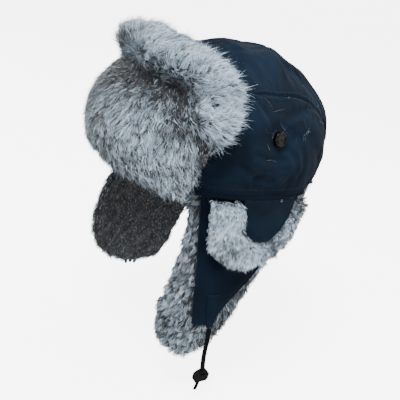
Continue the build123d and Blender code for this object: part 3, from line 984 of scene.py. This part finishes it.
def from_rear(points):
    """Distance in front of the flap's rear edge."""
    return np.interp(points[:, 2], rear_edge[:, 1], rear_edge[:, 0]) - points[:, 1]


def crease_pull(points, normals):
    away = near_line(points, crease)
    dent = -9 * MM * bell(away, 0.007)
    roll = 5 * MM * bell(over_crease(points) - 0.022, 0.012)
    notch = -8 * MM * bell(norm(points - SHADED_NOTCH, axis=1), 0.012)
    outward = facing_out(points, normals) > 0
    trimmed = np.zeros_like(points)
    trimmed[:, 1] = -6 * MM * np.exp(-np.maximum(from_rear(points), 0) / 0.012)
    trimmed[:, 2] = -6 * MM * np.exp(-np.maximum(flap_top - points[:, 2], 0) / 0.010)
    return normals * ((dent + roll + notch) * outward)[:, None] + trimmed


def front_look(points, normals):
    x, y, z = points.T
    beyond = over_crease(points)
    away = np.abs(beyond)
    roll = ramp(-0.003, 0.008, beyond)
    from_back = from_rear(points)
    from_top = flap_top - z
    to_back = np.exp(-from_back / 0.018)
    to_top = np.exp(-from_top / 0.018)
    side = np.sign(x)
    around = unit(np.c_[-(y + STRAIGHT), x, np.zeros(len(x))]) * side[:, None]
    low_edge = 1 - ramp(0.012, 0.045, z)
    main_flow = np.array([0, 0, -1.0]) + around * (0.15 + 0.9 * low_edge)[:, None]
    roll_flow = np.c_[0 * x, to_back, to_top + 0.1] + around * 0.25
    flow = main_flow * (1 - roll)[:, None] + unit(roll_flow) * roll[:, None]
    # Painted shadow under the curled rim: hairs near the crease are darkened, gently over a wide band and
    # strongly over a narrow one.
    under = bell(away, 0.0085)
    # Painted shade on the side of the flap turned away from the light, towards the wearer's right: its hairs
    # are darker and more often dark-tipped.
    shaded_far_side = ramp(0.050, -0.035, x)
    shade = 0.68 - 0.38 * bell(away, 0.019) - 0.46 * shaded_far_side + 0.02 * low_edge
    rear = ramp(0.055, 0.09, np.abs(x)) * ramp(0.02, 0.06, z)
    light = shade * (1 - roll) + roll * (0.76 + 0.24 * rear)
    light = light + 0.13 * ripple(points, 0.026, 71) + 0.12 * ripple(points, 0.010, 72)
    # Painted shadow: the narrow band along the crease is made nearly black.
    light = light * (1 - 0.97 * under) - 0.22 * under
    # Painted shade in the hollow of the rim: its hairs are darkened almost to black.
    notch = bell(norm(points - SHADED_NOTCH, axis=1), 0.015)
    light = light * (1 - 0.95 * notch)
    inside = facing_out(points, normals) < 0
    deep_inside = inside & (from_top > 0.02) & (from_back > 0.02)
    return dict(
        keep=np.where(deep_inside, 0.02, 1.0) * (1 + 0.4 * roll) * (1 - 0.65 * under),
        flow=flow,
        sway=0.45,
        lift=0.62 + 0.18 * roll,
        length=0.0098 + 0.0012 * roll - 0.005 * under - 0.002 * low_edge,
        light=light,
        dark_tips=0.12 + 0.10 * roll * (1 - rear) + 0.12 * shaded_far_side * (1 - roll),
        brown=0.03 + 0.34 * ramp(0.01, 0.06, -x) * (1 - roll) + 0.05 * low_edge,
    )


def spread(hand, side):
    """Pushes an ear pelt's front edge forward: the left one at its seam, the right one half way down."""
    fur_low, fur_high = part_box(f"{hand}_ear_flap_fur")

    def pull(points, normals):
        down = (fur_high.z - points[:, 2]) / (fur_high.z - fur_low.z)
        front = ramp(-0.1, -0.8, normals[:, 1])
        if side > 0:
            amount = (1 - ramp(0.35, 0.75, down)) * 7.5 * MM
        else:
            amount = np.sin(pi * np.clip(down * 1.1, 0, 1)) * 10 * MM
        shift = np.zeros_like(points)
        shift[:, 1] = -amount * ramp(0.0, -0.075, points[:, 1]) * (0.35 + 0.65 * front)
        shift[:, 2] = 3 * MM * ramp(0.10, 0.01, down)
        if side < 0:
            shift[:, 2] -= 5 * MM * ramp(0.7, 1.0, down)
        return shift

    return pull


def flap_look(hand, side):
    shell_low, shell_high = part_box(f"{hand}_ear_flap_shell")
    fur_low, fur_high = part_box(f"{hand}_ear_flap_fur")
    middle_y = 0.5 * (shell_low.y + shell_high.y)

    def look(points, normals):
        x, y, z = points.T
        outer_face = ramp(-0.2, 0.45, normals[:, 0] * side)
        down = ramp(0.0, 1.0, (fur_high.z - z) / (fur_high.z - fur_low.z))
        fanned = (y - middle_y) / 0.06 * (0.25 + 0.55 * down)
        flow = np.c_[0.1 * side * outer_face, fanned * (0.35 + 0.65 * outer_face), -1.0 + 0 * x]
        edge = 1 - np.abs(normals[:, 0])
        # Painted shade: hairs on the inner face, turned towards the head, are made much darker than those on
        # the outer face.
        light = -0.16 + 0.54 * outer_face + 0.12 * edge + 0.08 * down**2
        light = light + 0.09 * ripple(points, 0.022, 81) + 0.08 * ripple(points, 0.008, 82)
        return dict(
            keep=1.0 + 0.9 * edge,
            flow=flow,
            sway=0.4,
            lift=0.42 + 0.25 * outer_face + 0.15 * edge,
            length=0.0066 + 0.0024 * outer_face + 0.0005 * edge,
            light=light,
            dark_tips=0.26 - 0.18 * outer_face,
            brown=0.05 + 0.06 * (1 - outer_face),
        )

    return look


def cuff_look(hand, side):
    pane_low, pane_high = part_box(f"{hand}_cuff_shell")
    middle = np.array([0, 0.5 * (pane_low.y + pane_high.y), 0.6 * pane_high.z + 0.4 * pane_low.z])
    tuft_at = np.array([side * 0.110, 0.002, pane_low.z - 0.004])

    def look(points, normals):
        x, y, z = points.T
        away = points - middle
        away[:, 0] = 0
        away = unit(away)
        rear = ramp(0.005, 0.035, y)
        flow = np.array([0, 0, -1.0]) * (1 - 0.4 * rear)[:, None] + away * (0.35 + 0.75 * rear)[:, None]
        tuft = bell(norm(points - tuft_at, axis=1), 0.013)
        low = ramp(pane_low.z + 0.030, pane_low.z - 0.004, z)
        light = 0.84 - 0.20 * rear - 0.20 * low + 0.45 * tuft
        light = light + 0.10 * ripple(points, 0.020, 91) + 0.07 * ripple(points, 0.008, 92)
        outline = ramp(0.2, 0.9, (normals * away).sum(1))
        return dict(
            keep=np.ones(len(x)),
            flow=flow,
            sway=0.5,
            lift=0.66 - 0.15 * rear,
            length=0.0088 - 0.001 * rear + 0.002 * tuft,
            light=light,
            dark_tips=0.05 + 0.05 * rear,
            brown=0.03 + 0.50 * rear * outline,
        )

    return look


def neck_look(points, normals):
    x, y, z = points.T
    outer_face = ramp(-0.2, 0.4, normals[:, 1])
    flow = np.c_[x / 0.06 * 0.5, 0.1 * outer_face, -1.0 + 0 * x]
    light = 0.30 + 0.44 * outer_face + 0.08 * ripple(points, 0.022, 95) + 0.08 * ripple(points, 0.008, 96)
    return dict(
        keep=np.ones(len(x)),
        flow=flow,
        sway=0.45,
        lift=0.45 + 0.2 * outer_face,
        length=0.0075 + 0.002 * outer_face,
        light=light,
        dark_tips=0.2 - 0.12 * outer_face,
        brown=0.08,
    )


def to_seam(points, normals):
    """Lifts the neck pelt's top back to the seam that it hangs from."""
    shift = np.zeros_like(points)
    shift[:, 2] = 4.5 * MM * ramp(0.018, 0.002, points[:, 2].max() - points[:, 2])
    return shift


def held_low(points):
    return 1 - ramp(0.0, 0.03, points[:, 2] - points[:, 2].min())


def coat(stem, body, under, inset, lumps, pelt_seed, look, hidden_by, layers, **shaping):
    """A pelt and the layers of hair on it."""
    base = pelt(f"{stem}_pelt", f"{stem}_fur", body, under, inset, lumps, pelt_seed, **shaping)
    for suffix, count, seed, width, clump, per_clump, reach in layers:
        grow(f"{stem}_hair{suffix}", base, body, count, seed, look, hidden_by, width * MM,
             clump, per_clump, reach)


# Each layer is (suffix, hairs, seed, width in mm, how tightly locks gather, hairs per lock, length).
FRONT_LAYERS = (("_a", 36000, 111, 0.50, 0.75, 16, 1.0), ("_b", 16000, 112, 0.36, 0.5, 8, 1.3),
                ("_c", 7000, 113, 0.24, 0.1, 6, 1.7))
coat("front_flap", "front_flap", underfur, 5 * MM, 1.1 * MM, 101, front_look, crown_cloth_nodes, FRONT_LAYERS,
     pull=crease_pull, billow={"held": held_low, "pressure": 1.0, "cap": 2 * MM})
for hand, side in SIDES:
    body = f"{hand}_ear_flap"
    shell, pane = f"{hand}_ear_flap_shell", f"{hand}_cuff_shell"
    coat(body, body, underfur, 3.5 * MM, 0.8 * MM, 121 + side, flap_look(hand, side), (shell,),
         [("", 38000, 131 + side, 0.44, 0.7, 14, 1.0)], pull=spread(hand, side))
    coat(f"{hand}_cuff", body, pale_underfur, 4.5 * MM, 0.8 * MM, 141 + side, cuff_look(hand, side),
         (shell, pane), [("", 30000, 151 + side, 0.44, 0.7, 14, 1.0)], voxel=3.2 * MM)
coat("neck_flap", "neck_flap", pale_underfur, 4 * MM, 0.9 * MM, 161, neck_look, ("neck_flap_shell",),
     [("", 36000, 171, 0.38, 0.5, 9, 1.0)], pull=to_seam)

# ---- Plain inner layers that stay hidden ----
for name in ("front_flap_shell", "front_flap_interlining"):
    repaint(nodes[name].data, navy)

# ---- Floor, lights ----
FLOOR_DROP = 0.004
floor_paint = Paint("floor_paint", Roughness=0.9)
floor_paint.shader.inputs["Base Color"].default_value = (0.93, 0.93, 0.93, 1)
floor_paint.shader.inputs["Emission Color"].default_value = (1, 1, 1, 1)
floor_paint.shader.inputs["Emission Strength"].default_value = 5.0
floor_points = [(x * size, y * size, rise) for size, rise in ((9, 0), (12, 0.4), (14, 2.0), (15, 5.0))
                for x, y in ((-1, -1), (1, -1), (1, 1), (-1, 1))]
floor_mesh = mesh_of("floor", floor_points, [(0, 1, 2, 3)] + quads(4, 4), False)
floor = link("floor", floor_mesh, floor_paint.material)
floor.location.z = cad_box[0][2] - FLOOR_DROP
floor.visible_diffuse = False
floor.visible_glossy = False

world = bpy.data.worlds.new("studio")
world.use_nodes = True
world.node_tree.nodes["Background"].inputs["Color"].default_value = (1, 1, 1, 1)
world.node_tree.nodes["Background"].inputs["Strength"].default_value = 0.90
scene.world = world

# Place, size and power of each soft light.
LIGHTS = [((0.5, -0.9, 1.7), 0.8, 62), ((-1.3, -1.2, 0.7), 1.4, 14), ((1.4, 0.9, 0.6), 1.2, 12),
          ((-0.4, 1.4, 1.3), 1.2, 12)]
for number, (spot, size, power) in enumerate(LIGHTS):
    lamp = bpy.data.lights.new(f"softbox_{number}", "AREA")
    lamp.size = size
    lamp.energy = power
    lamp.color = (0.97, 0.985, 1.0)
    box = link(f"softbox_{number}", lamp)
    box.location = spot
    box.rotation_euler = (Vector((0, 0, 0)) - Vector(spot)).to_track_quat("-Z", "Y").to_euler()
